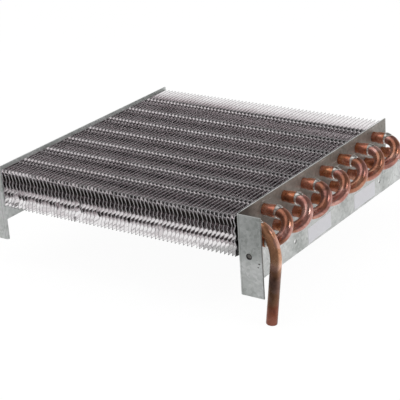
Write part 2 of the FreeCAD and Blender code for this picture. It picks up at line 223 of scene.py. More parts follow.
# Rolled aluminium fin stock: bright and mirror-like along the roll, dulled a little by
# drawing oil, which shows as slow drifts of tint and gloss some 10 to 30 mm across.
fin_stock, place = new_material("rolled_aluminium_fin_stock")
oil = add_node(fin_stock, "TexNoise", Vector=place, Scale=55.0, Detail=3.0).outputs["Fac"]
along_roll = add_node(fin_stock, "Mapping", Vector=place, Scale=(1.0, 0.12, 1.0)).outputs["Vector"]
grain = add_node(fin_stock, "TexNoise", Vector=along_roll, Scale=1800.0, Detail=2.0).outputs["Fac"]
fin_tint = add_node(fin_stock, "ValToRGB", Fac=oil, stops=[
    (0.30, "#E2DEDF"), (0.52, "#EBE8E9"), (0.75, "#F0EEEF")]).outputs["Color"]

# Painted shade: the collars of the first upper tube are darkened below their tops, so that the
# slots in front look dark.
from_tube = add_node(fin_stock, "VectorMath", {"operation": "SUBTRACT"}, _0=place,
                     _1=(0.0, first_tube, upper_row)).outputs["Vector"]
from_tube = add_node(fin_stock, "VectorMath", {"operation": "MULTIPLY"}, _0=from_tube,
                     _1=(0.0, 1.0, 1.0)).outputs["Vector"]
reach = add_node(fin_stock, "VectorMath", {"operation": "LENGTH"}, _0=from_tube).outputs["Value"]
near_tube = add_node(fin_stock, "MapRange", Value=reach, From_Min=0.0056,
                     From_Max=0.0051).outputs["Result"]
height = add_node(fin_stock, "SeparateXYZ", Vector=from_tube).outputs["Z"]
below_top = add_node(fin_stock, "MapRange", Value=height, From_Min=0.0030,
                     From_Max=0.0018).outputs["Result"]
collar_shade = add_node(fin_stock, "Math", {"operation": "MULTIPLY"}, _0=near_tube,
                _1=below_top).outputs["Value"]
fin_tint = add_node(fin_stock, "Mix", {"data_type": "RGBA", "blend_type": "MULTIPLY"}, _0=collar_shade,
                    _6=fin_tint, _7=colour("#57524F")).outputs[2]

fin_gloss = add_node(fin_stock, "MapRange", Value=oil, From_Min=0.3, From_Max=0.7,
                     To_Min=0.10, To_Max=0.15).outputs["Result"]
fin_bump = add_node(fin_stock, "Bump", Height=grain, Strength=0.06,
                    Distance=0.00004).outputs["Normal"]
fin_shader = add_node(fin_stock, "BsdfPrincipled", Base_Color=fin_tint, Metallic=1.0,
                      Roughness=fin_gloss, Normal=fin_bump).outputs["BSDF"]
add_node(fin_stock, "OutputMaterial", Surface=fin_shader)

# The sheared rim of each fin is a rough, bright burr, a quarter of a millimetre wide. In front
# it is drawn 0.7 mm wide, because a real one is too fine to show. At the back and underneath
# it is painted darker grey as shade, so those tips show dark against the light.
fin_rim, place = new_material("sheared_aluminium_burr")
burr = add_node(fin_rim, "TexNoise", Vector=place, Scale=900.0, Detail=3.0).outputs["Fac"]
rim_tint = add_node(fin_rim, "ValToRGB", Fac=burr, stops=[
    (0.30, "#CAC6C9"), (0.70, "#EDEAEC")]).outputs["Color"]
on_rim = add_node(fin_rim, "SeparateXYZ", Vector=place)
shade_at_back = add_node(fin_rim, "MapRange", Value=on_rim.outputs["Y"], From_Min=0.225,
                        From_Max=0.240).outputs["Result"]
shade_below = add_node(fin_rim, "MapRange", Value=on_rim.outputs["Z"], From_Min=-0.0018,
                      From_Max=-0.0028).outputs["Result"]
rim_shade = add_node(fin_rim, "Math", {"operation": "MAXIMUM"}, _0=shade_at_back,
                _1=shade_below).outputs["Value"]
rim_tint = add_node(fin_rim, "Mix", {"data_type": "RGBA", "blend_type": "MULTIPLY"}, _0=rim_shade,
                    _6=rim_tint, _7=colour("#5C585A")).outputs[2]
bare_metal = add_node(fin_rim, "MapRange", Value=on_rim.outputs["Y"], From_Min=0.0013,
                      From_Max=0.0016, To_Max=0.35).outputs["Result"]
rim_shader = add_node(fin_rim, "BsdfPrincipled", Base_Color=rim_tint, Metallic=bare_metal,
                      Roughness=0.55).outputs["BSDF"]
add_node(fin_rim, "OutputMaterial", Surface=rim_shader)


def build_fins(name, numbers):
    """A run of fins as one piece; each is two waved sheets joined at the rim and by the collars.

    A collar is a cone on each sheet's hole that leads to one ring of tips, so it is closed.
    """
    Y, Z, keep, holes = fin_sheet()
    sheet = Y.size
    index = np.arange(sheet).reshape(Y.shape)
    cells = np.stack([index[:-1, :-1], index[1:, :-1], index[1:, 1:], index[:-1, 1:]], -1)[keep]
    outermost = np.ones(keep.shape, bool)
    outermost[1:-1, 1:-1] = False
    edge = np.concatenate([index[:, 0], index[-1, 1:], index[-2::-1, -1], index[0, -2:0:-1]])
    after = np.roll(edge, -1)
    faces = [cells, cells[:, ::-1] + sheet,
             np.stack([edge + sheet, after + sheet, after, edge], -1)]
    start = 2 * sheet
    tips_y, tips_z = [], []
    back_y, back_z = Y.copy(), Z.copy()
    for rim, y, z, angle in holes:
        front = index[rim[0], rim[1]]
        tip = start + np.arange(len(front))
        start += len(front)
        front_next, tip_next = np.roll(front, -1), np.roll(tip, -1)
        faces.append(np.stack([front, front_next, tip_next, tip], -1))
        faces.append(np.stack([front + sheet, tip, tip_next, front_next + sheet], -1))
        tips_y.append(y + (collar_outside + collar_inside) / 2 * np.cos(angle))
        tips_z.append(z + (collar_outside + collar_inside) / 2 * np.sin(angle))
        back_y[rim[0], rim[1]] = y + collar_inside * np.cos(angle)
        back_z[rim[0], rim[1]] = z + collar_inside * np.sin(angle)
    faces = np.concatenate(faces)
    tips_y, tips_z = np.concatenate(tips_y), np.concatenate(tips_z)
    wave = wave_height(Y, Z, holes)
    points, quads = [], []
    for order, number in enumerate(numbers):
        x = fin_low.x + fin_gauge / 2 + number * fin_spacing
        lean = wave + fin_lean(x, Y, Z)
        front = np.stack([x + lean + fin_gauge / 2, Y, Z], -1).reshape(-1, 3)
        back = np.stack([x + lean - fin_gauge / 2, back_y, back_z], -1).reshape(-1, 3)
        reach = min(collar_length, fin_high.x + room_at_plate - x)
        tips = np.stack([np.full(len(tips_y), x + reach), tips_y, tips_z], -1)
        points += [front, back, tips]
        quads.append(faces + order * (2 * sheet + len(tips)))
    piece = fill_mesh(name, np.concatenate(points), np.concatenate(quads), sharp=22)
    piece.data.materials.append(fin_stock)
    piece.data.materials.append(fin_rim)
    rim_faces = np.zeros(len(faces), np.int32)
    rim_faces[:2 * len(cells)] = np.tile(outermost[keep], 2)
    rim_faces[2 * len(cells):2 * len(cells) + len(edge)] = 1
    piece.data.polygons.foreach_set("material_index", np.tile(rim_faces, len(numbers)))
    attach(piece, "root")
    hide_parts("fins")


# The pack is made as four runs, so that no mesh gets too heavy to keep.
for run, numbers in enumerate(np.array_split(np.arange(fin_count), 4), start=1):
    build_fins(f"fins_{run}", numbers)


# End plates. Two galvanised steel sheets, cut and folded, with a flange in front for the
# screws and a web with a hole for each tube. The CAD plates stay and get their finish here.
#
# Hot-dip galvanised sheet: a dull, pale grey zinc skin with small spangles 2 to 3 mm across,
# cloudy drifts of about 25 mm, and fine bright scratches from the rolls.
galvanised, place = new_material("hot_dip_galvanised_sheet")
where = add_node(galvanised, "SeparateXYZ", Vector=place)
spangle = add_node(galvanised, "TexVoronoi", Vector=place, Scale=420.0).outputs["Color"]
spangle = add_node(galvanised, "RGBToBW", Color=spangle).outputs["Val"]
spangle = add_node(galvanised, "MapRange", Value=spangle, To_Min=-0.14,
                   To_Max=0.14).outputs["Result"]
cloud = add_node(galvanised, "TexNoise", Vector=place, Scale=38.0, Detail=5.0,
                 Roughness=0.6).outputs["Fac"]
skin = add_node(galvanised, "Math", {"operation": "ADD"}, _0=cloud, _1=spangle).outputs["Value"]
plate_tint = add_node(galvanised, "ValToRGB", Fac=skin, stops=[
    (0.28, "#AFB3B0"), (0.50, "#C9CCCA"), (0.72, "#E0E2E1")]).outputs["Color"]
zinc_gloss = add_node(galvanised, "MapRange", Value=skin, From_Min=0.25, From_Max=0.75,
                      To_Min=0.50, To_Max=0.36).outputs["Result"]

# Something dark has scuffed the right flange beside its screw hole and left small flecks.
fleck_centre, fleck_reach = (0.1446, 0.0, -0.0010), (0.0034, 0.004, 0.0125)
fleck_space = add_node(galvanised, "Mapping", Vector=place, Scale=(0.6, 1.0, 1.0)).outputs["Vector"]
fleck = add_node(galvanised, "TexVoronoi", Vector=fleck_space, Scale=480.0).outputs["Distance"]
fleck = add_node(galvanised, "MapRange", Value=fleck, From_Min=0.45, From_Max=0.0).outputs["Result"]
scuffed = add_node(galvanised, "VectorMath", {"operation": "SUBTRACT"}, _0=place,
                   _1=fleck_centre).outputs["Vector"]
scuffed = add_node(galvanised, "VectorMath", {"operation": "MULTIPLY"}, _0=scuffed,
                   _1=[1 / reach for reach in fleck_reach]).outputs["Vector"]
scuffed = add_node(galvanised, "VectorMath", {"operation": "LENGTH"}, _0=scuffed).outputs["Value"]
scuffed = add_node(galvanised, "MapRange", Value=scuffed, From_Min=1.2,
                   From_Max=0.4).outputs["Result"]
fleck = add_node(galvanised, "Math", {"operation": "MULTIPLY"}, _0=fleck,
                 _1=scuffed).outputs["Value"]
fleck = add_node(galvanised, "MapRange", Value=fleck, From_Min=0.27, From_Max=0.40,
                 To_Max=0.9).outputs["Result"]
plate_tint = add_node(galvanised, "Mix", {"data_type": "RGBA"}, _0=fleck, _6=plate_tint,
                      _7=colour("#3C3B39")).outputs[2]

# Painted shade: the right web's outside is darkened round the joints, down to the strip, and
# further down and darker in the corner behind the flange.
web_shade_height = add_node(galvanised, "Math", {"operation": "MULTIPLY_ADD"}, _0=cloud, _1=0.014,
                       _2=where.outputs["Z"]).outputs["Value"]
web_shade_run = add_node(galvanised, "MapRange", {"interpolation_type": "SMOOTHSTEP"},
                    Value=where.outputs["Y"], From_Min=0.030, From_Max=0.012,
                    To_Max=0.026).outputs["Result"]
web_shade_height = add_node(galvanised, "Math", {"operation": "ADD"}, _0=web_shade_height,
                       _1=web_shade_run).outputs["Value"]
web_shade_up = add_node(galvanised, "MapRange", {"interpolation_type": "SMOOTHSTEP"},
                   Value=web_shade_height, From_Min=-0.006, From_Max=0.024).outputs["Result"]
web_shade_side = add_node(galvanised, "MapRange", Value=where.outputs["X"], From_Min=0.1258,
                     From_Max=0.1261).outputs["Result"]
web_shade_back = add_node(galvanised, "MapRange", Value=where.outputs["Y"], From_Min=0.0012,
                     From_Max=0.0020).outputs["Result"]
web_shade = add_node(galvanised, "Math", {"operation": "MULTIPLY"}, _0=web_shade_up,
                _1=web_shade_side).outputs["Value"]
web_shade = add_node(galvanised, "Math", {"operation": "MULTIPLY"}, _0=web_shade,
                _1=web_shade_back).outputs["Value"]
web_shade_corner = add_node(galvanised, "MapRange", Value=web_shade_run, From_Max=0.026).outputs["Result"]
web_shade_tint = add_node(galvanised, "Mix", {"data_type": "RGBA"}, _0=web_shade_corner, _6=colour("#B6AEA7"),
                     _7=colour("#625D58")).outputs[2]
plate_tint = add_node(galvanised, "Mix", {"data_type": "RGBA", "blend_type": "MULTIPLY"},
                      _0=web_shade, _6=plate_tint, _7=web_shade_tint).outputs[2]

# Painted shade: the front of the right web's inside is darkened, in the slot beside the last fin.
inside = add_node(galvanised, "Math", {"operation": "COMPARE"}, _0=where.outputs["X"],
                  _1=0.1250, _2=0.0005).outputs["Value"]
slot_start = add_node(galvanised, "MapRange", Value=where.outputs["Y"], From_Min=0.0012,
                      From_Max=0.0018).outputs["Result"]
slot_end = add_node(galvanised, "MapRange", Value=where.outputs["Y"], From_Min=0.009,
                    From_Max=0.005).outputs["Result"]
slot_shade = add_node(galvanised, "Math", {"operation": "MULTIPLY"}, _0=inside,
                   _1=slot_start).outputs["Value"]
slot_shade = add_node(galvanised, "Math", {"operation": "MULTIPLY"}, _0=slot_shade,
                   _1=slot_end).outputs["Value"]
plate_tint = add_node(galvanised, "Mix", {"data_type": "RGBA", "blend_type": "MULTIPLY"},
                      _0=slot_shade, _6=plate_tint, _7=colour("#2E2C2A")).outputs[2]

# Painted light: the flanges' front faces are brightened, low down on the right one and all over
# on the left one, and so is the rest of the right web's inside.
lit_low = add_node(galvanised, "MapRange", {"interpolation_type": "SMOOTHSTEP"},
                     Value=where.outputs["Z"], From_Min=0.018, From_Max=-0.016,
                     To_Max=0.6).outputs["Result"]
lit_left = add_node(galvanised, "MapRange", Value=where.outputs["X"], From_Min=0.10,
                      From_Max=-0.10).outputs["Result"]
front_face = add_node(galvanised, "MapRange", Value=where.outputs["Y"], From_Min=0.0016,
                      From_Max=0.0010).outputs["Result"]
painted_light = add_node(galvanised, "Math", {"operation": "MAXIMUM"}, _0=lit_low,
                 _1=lit_left).outputs["Value"]
painted_light = add_node(galvanised, "Math", {"operation": "MULTIPLY"}, _0=painted_light,
                 _1=front_face).outputs["Value"]
lit_inside = add_node(galvanised, "Math", {"operation": "SUBTRACT"}, _0=inside,
                        _1=slot_shade).outputs["Value"]
painted_light = add_node(galvanised, "Math", {"operation": "MAXIMUM"}, _0=painted_light,
                 _1=lit_inside).outputs["Value"]
plate_tint = add_node(
    galvanised, "Mix", {"data_type": "RGBA", "blend_type": "MULTIPLY", "clamp_result": True},
    _0=painted_light, _6=plate_tint, _7=(1.55, 1.55, 1.55, 1.0)).outputs[2]

# Painted shade: a dark ring round each flange hole, so that the hole looks dark inside.
both_sides = add_node(galvanised, "VectorMath", {"operation": "ABSOLUTE"},
                      _0=place).outputs["Vector"]
from_hole = add_node(galvanised, "VectorMath", {"operation": "SUBTRACT"}, _0=both_sides,
                      _1=(0.1354, 0.0, 0.0)).outputs["Vector"]
from_hole = add_node(galvanised, "VectorMath", {"operation": "LENGTH"},
                      _0=from_hole).outputs["Value"]
hole_shade_ring = add_node(galvanised, "MapRange", Value=from_hole, From_Min=0.0029,
                From_Max=0.0025).outputs["Result"]
plate_tint = add_node(galvanised, "Mix", {"data_type": "RGBA"}, _0=hole_shade_ring, _6=plate_tint,
                      _7=colour("#24221F")).outputs[2]

# The sheared tips of the flanges are darker, bare steel. A line along their fold is painted shade.
sideways = add_node(galvanised, "SeparateXYZ", Vector=both_sides).outputs["X"]
tip = add_node(galvanised, "MapRange", Value=sideways, From_Min=0.1471, From_Max=0.1475,
               To_Max=0.7).outputs["Result"]
fold_shade = add_node(galvanised, "Math", {"operation": "COMPARE"}, _0=sideways, _1=0.1276,
                _2=0.00022).outputs["Value"]
fold_shade = add_node(galvanised, "Math", {"operation": "MULTIPLY"}, _0=fold_shade, _1=0.45).outputs["Value"]
tip_and_fold_shade = add_node(galvanised, "Math", {"operation": "MAXIMUM"}, _0=tip,
                      _1=fold_shade).outputs["Value"]
plate_tint = add_node(galvanised, "Mix", {"data_type": "RGBA"}, _0=tip_and_fold_shade, _6=plate_tint,
                      _7=colour("#6B6B68")).outputs[2]

scratch_space = add_node(galvanised, "Mapping", Vector=place,
                         Scale=(1.0, 0.05, 1.0)).outputs["Vector"]
scratch = add_node(galvanised, "TexNoise", Vector=scratch_space, Scale=900.0,
                   Detail=3.0).outputs["Fac"]
scratched = add_node(galvanised, "MapRange", Value=scratch, From_Min=0.66, From_Max=0.72,
                     To_Max=0.5).outputs["Result"]
plate_tint = add_node(galvanised, "Mix", {"data_type": "RGBA"}, _0=scratched, _6=plate_tint,
                      _7=colour("#ECEEED")).outputs[2]
plate_bump = add_node(galvanised, "Bump", Height=scratch, Strength=0.10,
                      Distance=0.00003).outputs["Normal"]
plate_shader = add_node(galvanised, "BsdfPrincipled", Base_Color=plate_tint, Metallic=0.45,
                        Roughness=zinc_gloss, Normal=plate_bump).outputs["BSDF"]
add_node(galvanised, "OutputMaterial", Surface=plate_shader)

for name in ("end_plate_right", "end_plate_left"):
    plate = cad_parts[name]
    plate.data.materials.clear()
    plate.data.materials.append(galvanised)


# Hairpins. Eight lengths of drawn copper tube, each bent double at the left plate. They are
# pushed through the fins from there, and their right ends are opened to take the bends.
tube_outside, tube_inside = 0.0047625, 0.0043625
mouth_outside, mouth_inside = 0.0052625, 0.0048625
mouth_end, mouth_depth, mouth_taper, broken_edge = 0.1388, 0.0070, 0.0015, 0.0001
hairpin_centre, bend_radius = -0.1292, 0.012686
along_leg = [0.126, 0.1235, 0.0, -0.1235, -0.1265]


def carry_ring(name, path, across, radii, sides=28):
    """A tube: a circle carried along a flat path, whose radius changes from station to station.

    Each station's circle lies in the plane of `across`, the path's own normal, and the
    direction square to it and to the path. The last station joins the first, so a path that
    goes out along the outer wall and back along the inner wall makes a closed tube.
    """
    path, radii = np.asarray(path, float), np.asarray(radii, float)
    across = np.asarray(across, float) / np.linalg.norm(across)
    ahead = np.gradient(path[:len(path) // 2], axis=0)
    ahead = np.concatenate([ahead, ahead[::-1]])
    ahead /= np.linalg.norm(ahead, axis=1)[:, None]
    side = np.cross(ahead, across)
    turn = np.linspace(0, 2 * np.pi, sides, endpoint=False)[:, None]
    circle = np.cos(turn) * across + np.sin(turn) * side[:, None, :]
    points = path[:, None, :] + radii[:, None, None] * circle
    index = np.arange(len(path) * sides).reshape(len(path), sides)
    after, beside = np.roll(index, -1, 0), np.roll(index, -1, 1)
    quads = np.stack([index, beside, np.roll(after, -1, 1), after], -1).reshape(-1, 4)
    return fill_mesh(name, points.reshape(-1, 3), quads, sharp=50)


def there_and_back(path, outer, inner):
    """Stations and radii for a wall: the path out at the outer radius, back at the inner one."""
    return np.concatenate([path, path[::-1]]), np.concatenate([outer, inner[::-1]])


def double_back(centre, up, leg, outwards, steps):
    """A path in along a leg's X stations, round a half circle, and back along the other leg.

    The circle's points are the centre plus bend_radius times (cos t times up, plus sin t
    times outwards). The legs start at its two ends.
    """
    turn = np.linspace(0, np.pi, steps)[:, None]
    arc = centre + bend_radius * (np.cos(turn) * up + np.sin(turn) * np.array(outwards))
    there = np.array([[x, *(centre + up * bend_radius)[1:]] for x in leg])
    back = np.array([[x, *(centre - up * bend_radius)[1:]] for x in leg[::-1]])
    return np.concatenate([there, arc, back])


def copper_tube_stock(name, light, middle, dark, blotch_size, stain=None):
    """Drawn copper tube that has been brazed: rosy metal under a thin, blotchy brown oxide.

    The blotches follow the flame, about as long as blotch_size. A stain is the lowest and
    highest Z of a ramp over height, and its stops, for a pipe that was heated in one place.
    """
    material, place = new_material(name)
    blotch = add_node(material, "TexNoise", Vector=place, Scale=1 / blotch_size, Detail=4.0,
                      Roughness=0.55, Distortion=0.6).outputs["Fac"]
    fine = add_node(material, "TexNoise", Vector=place, Scale=700.0, Detail=3.0).outputs["Fac"]
    film = add_node(material, "Math", {"operation": "MULTIPLY_ADD"}, _0=fine, _1=0.18,
                    _2=blotch).outputs["Value"]
    tint = add_node(material, "ValToRGB", Fac=film, stops=[
        (0.36, dark), (0.56, middle), (0.78, light)]).outputs["Color"]
    patch = add_node(material, "TexNoise", Vector=place, Scale=0.75 / blotch_size, Detail=1.0,
                     Distortion=0.4).outputs["Fac"]
    patch = add_node(material, "MapRange", {"interpolation_type": "SMOOTHSTEP"}, Value=patch,
                     From_Min=0.46, From_Max=0.60).outputs["Result"]
    tint = add_node(material, "Mix", {"data_type": "RGBA", "blend_type": "MULTIPLY"},
                    _0=patch, _6=tint, _7=colour("#F2E8CC")).outputs[2]
    if stain:
        low, high, stops = stain
        height = add_node(material, "SeparateXYZ", Vector=place).outputs["Z"]
        height = add_node(material, "Math", {"operation": "MULTIPLY_ADD"}, _0=blotch,
                          _1=0.012, _2=height).outputs["Value"]
        height = add_node(material, "MapRange", Value=height, From_Min=low,
                          From_Max=high).outputs["Result"]
        stained = add_node(material, "ValToRGB", Fac=height, stops=stops).outputs["Color"]
        tint = add_node(material, "Mix", {"data_type": "RGBA", "blend_type": "MULTIPLY"},
                        _0=1.0, _6=tint, _7=stained).outputs[2]
    gloss = add_node(material, "MapRange", Value=film, From_Min=0.35, From_Max=0.85,
                     To_Min=0.36, To_Max=0.20).outputs["Result"]
    bump = add_node(material, "Bump", Height=fine, Strength=0.15,
                    Distance=0.00005).outputs["Normal"]
    shader = add_node(material, "BsdfPrincipled", Base_Color=tint, Metallic=0.8,
                      Roughness=gloss, Normal=bump).outputs["BSDF"]
    add_node(material, "OutputMaterial", Surface=shader)
    return material


hairpin_copper = copper_tube_stock("drawn_copper_hairpin", "#E8A78F", "#C98068", "#8A5746", 0.007)


def build_hairpin(column):
    """One hairpin: two straight legs and a half circle, in the slanted plane of its legs."""
    up = np.array([0, -tube_pitch / 4, row_gap / 2]) / bend_radius
    centre = np.array([hairpin_centre, first_tube + tube_pitch * (column + 0.25), row_middle])
    mouth = [mouth_end, mouth_end - 0.0003, mouth_end - mouth_depth,
             mouth_end - mouth_depth - mouth_taper]
    path = double_back(centre, up, mouth + along_leg, (-1.0, 0, 0), steps=25)
    outer, inner = np.full(len(path), tube_outside), np.full(len(path), tube_inside)
    for opening in (slice(0, 3), slice(-3, None)):
        outer[opening], inner[opening] = mouth_outside, mouth_inside
    outer[[0, -1]] -= broken_edge
    stations, radii = there_and_back(path, outer, inner)
    piece = carry_ring(f"hairpin_{column + 1}_tube", stations, np.cross([1.0, 0, 0], up), radii)
    piece.data.materials.append(hairpin_copper)
    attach(piece, "root")
    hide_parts(f"hairpin_{column + 1}")


for column in range(tube_count // 2):
    build_hairpin(column)


# Return bends. Seven short U-bends of the same copper, brazed into the opened ends, each
# from one lower tube to the next upper one. The flame has turned them pink to brown.
arc_start = mouth_end + 0.0006
stub = [mouth_end - 0.0065, mouth_end - 0.0062]
bend_copper = copper_tube_stock(
    "flame_reddened_copper_bend", "#DAABA1", "#B27A6F", "#79544B", 0.011)


def build_return_bend(number):
    """One return bend: two stubs in the opened ends and a half circle outside them."""
    up = np.array([0, tube_pitch / 4, row_gap / 2]) / bend_radius
    centre = np.array([arc_start, first_tube + tube_pitch * (number - 0.25), row_middle])
    path = double_back(centre, up, stub, (1.0, 0, 0), steps=37)
    outer, inner = np.full(len(path), tube_outside), np.full(len(path), tube_inside)
    stations, radii = there_and_back(path, outer, inner)
    piece = carry_ring(f"return_bend_{number}_tube", stations, np.cross(up, [1.0, 0, 0]), radii,
                       sides=32)
    piece.data.materials.append(bend_copper)
    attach(piece, "root")
    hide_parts(f"return_bend_{number}")


for number in range(1, tube_count // 2):
    build_return_bend(number)


# Inlet and outlet pipes. The inlet is a longer copper tube brazed into the first upper
# opening and bent down in front of the plate; the outlet is a straight stub at the back.
tight_radius, wide_radius, inlet_foot = 0.0132, 0.0422, -0.0594
tight_turn, wide_turn = math.radians(64), math.radians(33.2)
outlet_column, outlet_stations = 7.5, [0.145, 0.155, 0.1660, 0.1662]
pipe_copper = copper_tube_stock(
    "tarnished_copper_pipe", "#EFC8BA", "#D8AC9D", "#AC8578", 0.010,
    stain=(-0.060, 0.028, [(0.0, "#A3786A"), (0.20, "#AB8477"), (0.34, "#988D88"),
                           (0.48, "#918D8A"), (0.60, "#B0A8A1"), (0.72, "#F2E9E1"),
                           (1.0, "#FFF0E6")]))


def build_inlet():
    """The inlet pipe: straight, a tight bend, a wide bend, and straight to its open end.

    Each bend's points are its centre plus its radius times (sin t, cos t) in X and Z, and
    the second centre lies on the line through the first one and the point where they meet.
    """
    first = np.linspace(0, tight_turn, 17)
    centre_one = np.array([arc_start, upper_row]) - [0, tight_radius]
    arc_one = centre_one + tight_radius * np.stack([np.sin(first), np.cos(first)], -1)
    meeting = np.array([math.sin(tight_turn), math.cos(tight_turn)])
    centre_two = centre_one + meeting * (tight_radius - wide_radius)
    heading = tight_turn + wide_turn
    second = np.linspace(tight_turn, heading, 15)[1:]
    arc_two = centre_two + wide_radius * np.stack([np.sin(second), np.cos(second)], -1)
    run = (arc_two[-1, 1] - inlet_foot) / math.sin(heading)
    along = np.array([0.25, 0.5, 0.75, 0.99, 1.0])[:, None] * run
    leg = arc_two[-1] + along * np.array([math.cos(heading), -math.sin(heading)])
    flat = np.concatenate([[[x, upper_row] for x in stub], arc_one, arc_two, leg])
    path = np.stack([flat[:, 0], np.full(len(flat), first_tube), flat[:, 1]], -1)
    outer, inner = np.full(len(path), tube_outside), np.full(len(path), tube_inside)
    outer[-1] -= 1.2 * broken_edge
    stations, radii = there_and_back(path, outer, inner)
    return carry_ring("inlet_pipe_tube", stations, (0, 1, 0), radii, sides=36)


def build_outlet():
    """The outlet pipe: a straight tube with its wall."""
    x = np.array([stub[0], mouth_end - 0.006] + outlet_stations)
    y = np.full(len(x), first_tube + outlet_column * tube_pitch)
    path = np.stack([x, y, np.full(len(x), lower_row)], -1)
    outer, inner = np.full(len(path), tube_outside), np.full(len(path), tube_inside)
    outer[-1] -= broken_edge
    stations, radii = there_and_back(path, outer, inner)
    return carry_ring("outlet_pipe_tube", stations, (0, 1, 0), radii)


for piece, node in ((build_inlet(), "inlet_pipe"), (build_outlet(), "outlet_pipe")):
    piece.data.materials.append(pipe_copper)
    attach(piece, "root")
    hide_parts(node)


# Brazing. Silver-bright filler metal fed by hand into each of the sixteen joints. It has
# frozen as an uneven fillet on the rim, thickest on top, where it was fed.
#
# Phosphor-silver brazing alloy, frozen from liquid: pale, glossy, slightly wrinkled.
filler, place = new_material("silver_brazing_alloy")
wrinkle = add_node(filler, "TexNoise", Vector=place, Scale=380.0, Detail=3.0,
                   Roughness=0.5).outputs["Fac"]
filler_tint = add_node(filler, "ValToRGB", Fac=wrinkle, stops=[
    (0.34, "#A79A90"), (0.48, "#D5CFC9"), (0.62, "#F1EEEB")]).outputs["Color"]
filler_bump = add_node(filler, "Bump", Height=wrinkle, Strength=0.35,
                       Distance=0.0002).outputs["Normal"]
filler_shader = add_node(filler, "BsdfPrincipled", Base_Color=filler_tint, Metallic=1.0,
                         Roughness=0.34, Normal=filler_bump).outputs["BSDF"]
add_node(filler, "OutputMaterial", Surface=filler_shader)

# A fillet's section: its place along the fillet, its distance from the tube's axis, and its
# share of the swell. It starts on the opened end and comes back under itself. A place below 0
# lies on the opened end, in metres; the others are shares of the fillet's length. Length and
# swell are a base, how far the sines go, and what is added where the filler was fed.
fillet_length, fillet_swell = (0.0010, 0.0004, 0.0040), (0.00014, 0.00006, 0.00065)
fillet_start, over_tube = -0.0006, 0.00004
fillet_section = [
    (-0.0006, mouth_outside + 0.00003, 0.0), (-0.0004, mouth_outside, 0.45),
    (0.0, mouth_outside, 0.80), (0.22, mouth_outside - 0.00010, 1.0),
    (0.50, tube_outside + 0.00024, 0.70), (0.80, tube_outside + 0.00012, 0.35),
    (1.0, tube_outside + over_tube, 0.0), (0.4, tube_outside + over_tube, 0.0),
    (0.0, tube_outside + over_tube, 0.0), (-0.0002, mouth_outside - 0.0002, 0.0)]


def build_brazing():
    """All sixteen fillets as one piece.

    A fillet is a ring whose section runs from the opened end's rim along the tube that goes on
    from it, round the bend's arc where there is one. Its length and thickness are a base plus a
    few sines round the joint, with a bell added on top where the filler was fed.
    """
    chance = np.random.default_rng(11)
    sides, straight, forwards = 48, 1000.0, np.array([1.0, 0, 0])
    turn = np.linspace(0, 2 * np.pi, sides, endpoint=False)
    slant = np.array([0, tube_pitch / 4, row_gap / 2]) / bend_radius
    upright = np.array([0, 0, 1.0])
    grids = []
    for tube in range(tube_count):
        is_lower = tube % 2 == 1
        centre = np.array([arc_start, first_tube + tube_pitch / 2 * tube,
                           lower_row if is_lower else upper_row])
        outward, radius = -slant if is_lower else slant, bend_radius
        if tube == 0:
            outward, radius = upright, tight_radius
        elif tube == tube_count - 1:
            outward, radius = upright, straight
        sideways = np.cross(outward, forwards)
        shift = chance.uniform(0, 2 * np.pi, 4)
        uneven = sum(np.sin((k + 2) * turn + shift[k]) / (k + 2) for k in range(4))
        direction = np.outer(np.cos(turn), outward) + np.outer(np.sin(turn), sideways)
        top = np.arccos(np.clip(direction @ upright, -1, 1))
        top = np.exp(-(top / chance.uniform(0.7, 1.0)) ** 2)
        base, wave, fed = fillet_length
        length = base + wave * uneven + fed * top * chance.uniform(0.5, 1.1)
        base, wave, fed = fillet_swell
        swell = base + wave * uneven + fed * top * chance.uniform(0.6, 1.1)
        rings = []
        for along, reach, share in fillet_section:
            run = fillet_start + (np.full(sides, along) if along < 0 else along * length)
            bent = np.maximum(run, 0) / radius
            radial = (np.cos(turn) * np.cos(bent))[:, None] * outward
            radial = radial + np.outer(np.cos(turn) * np.sin(bent), forwards)
            radial = radial + np.outer(np.sin(turn), sideways)
            middle = centre + np.outer(np.minimum(run, 0) + radius * np.sin(bent), forwards)
            middle = middle + np.outer(radius * (np.cos(bent) - 1), outward)
            rings.append(middle + (reach + share * swell)[:, None] * radial)
        grids.append(rings)
    grids = np.array(grids)
    index = np.arange(grids.size // 3).reshape(grids.shape[:3])
    after, beside = np.roll(index, -1, 1), np.roll(index, -1, 2)
    quads = np.stack([index, after, np.roll(after, -1, 2), beside], -1).reshape(-1, 4)
    return fill_mesh("brazing_fillets", grids.reshape(-1, 3), quads)


brazing = build_brazing()
brazing.data.materials.append(filler)
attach(brazing, "root")
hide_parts("brazing_rings")


# Labels. Two self-adhesive papers on the lower strip of the right plate, left blank.
#
# Coated white paper: matt, very slightly cool, with a faint fibre mottle some 2 mm across.
paper, place = new_material("coated_label_paper")
fibre = add_node(paper, "TexNoise", Vector=place, Scale=520.0, Detail=5.0,
                 Roughness=0.7).outputs["Fac"]
paper_tint = add_node(paper, "ValToRGB", Fac=fibre, stops=[
    (0.30, "#EDEEF3"), (0.55, "#F2F3F8"), (0.80, "#F6F7FB")]).outputs["Color"]
paper_bump = add_node(paper, "Bump", Height=fibre, Strength=0.10,
                      Distance=0.00003).outputs["Normal"]
paper_shader = add_node(paper, "BsdfPrincipled", Base_Color=paper_tint, Roughness=0.62,
                        Normal=paper_bump).outputs["BSDF"]
add_node(paper, "OutputMaterial", Surface=paper_shader)
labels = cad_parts["blank_labels"]
labels.data.materials.clear()
labels.data.materials.append(paper)


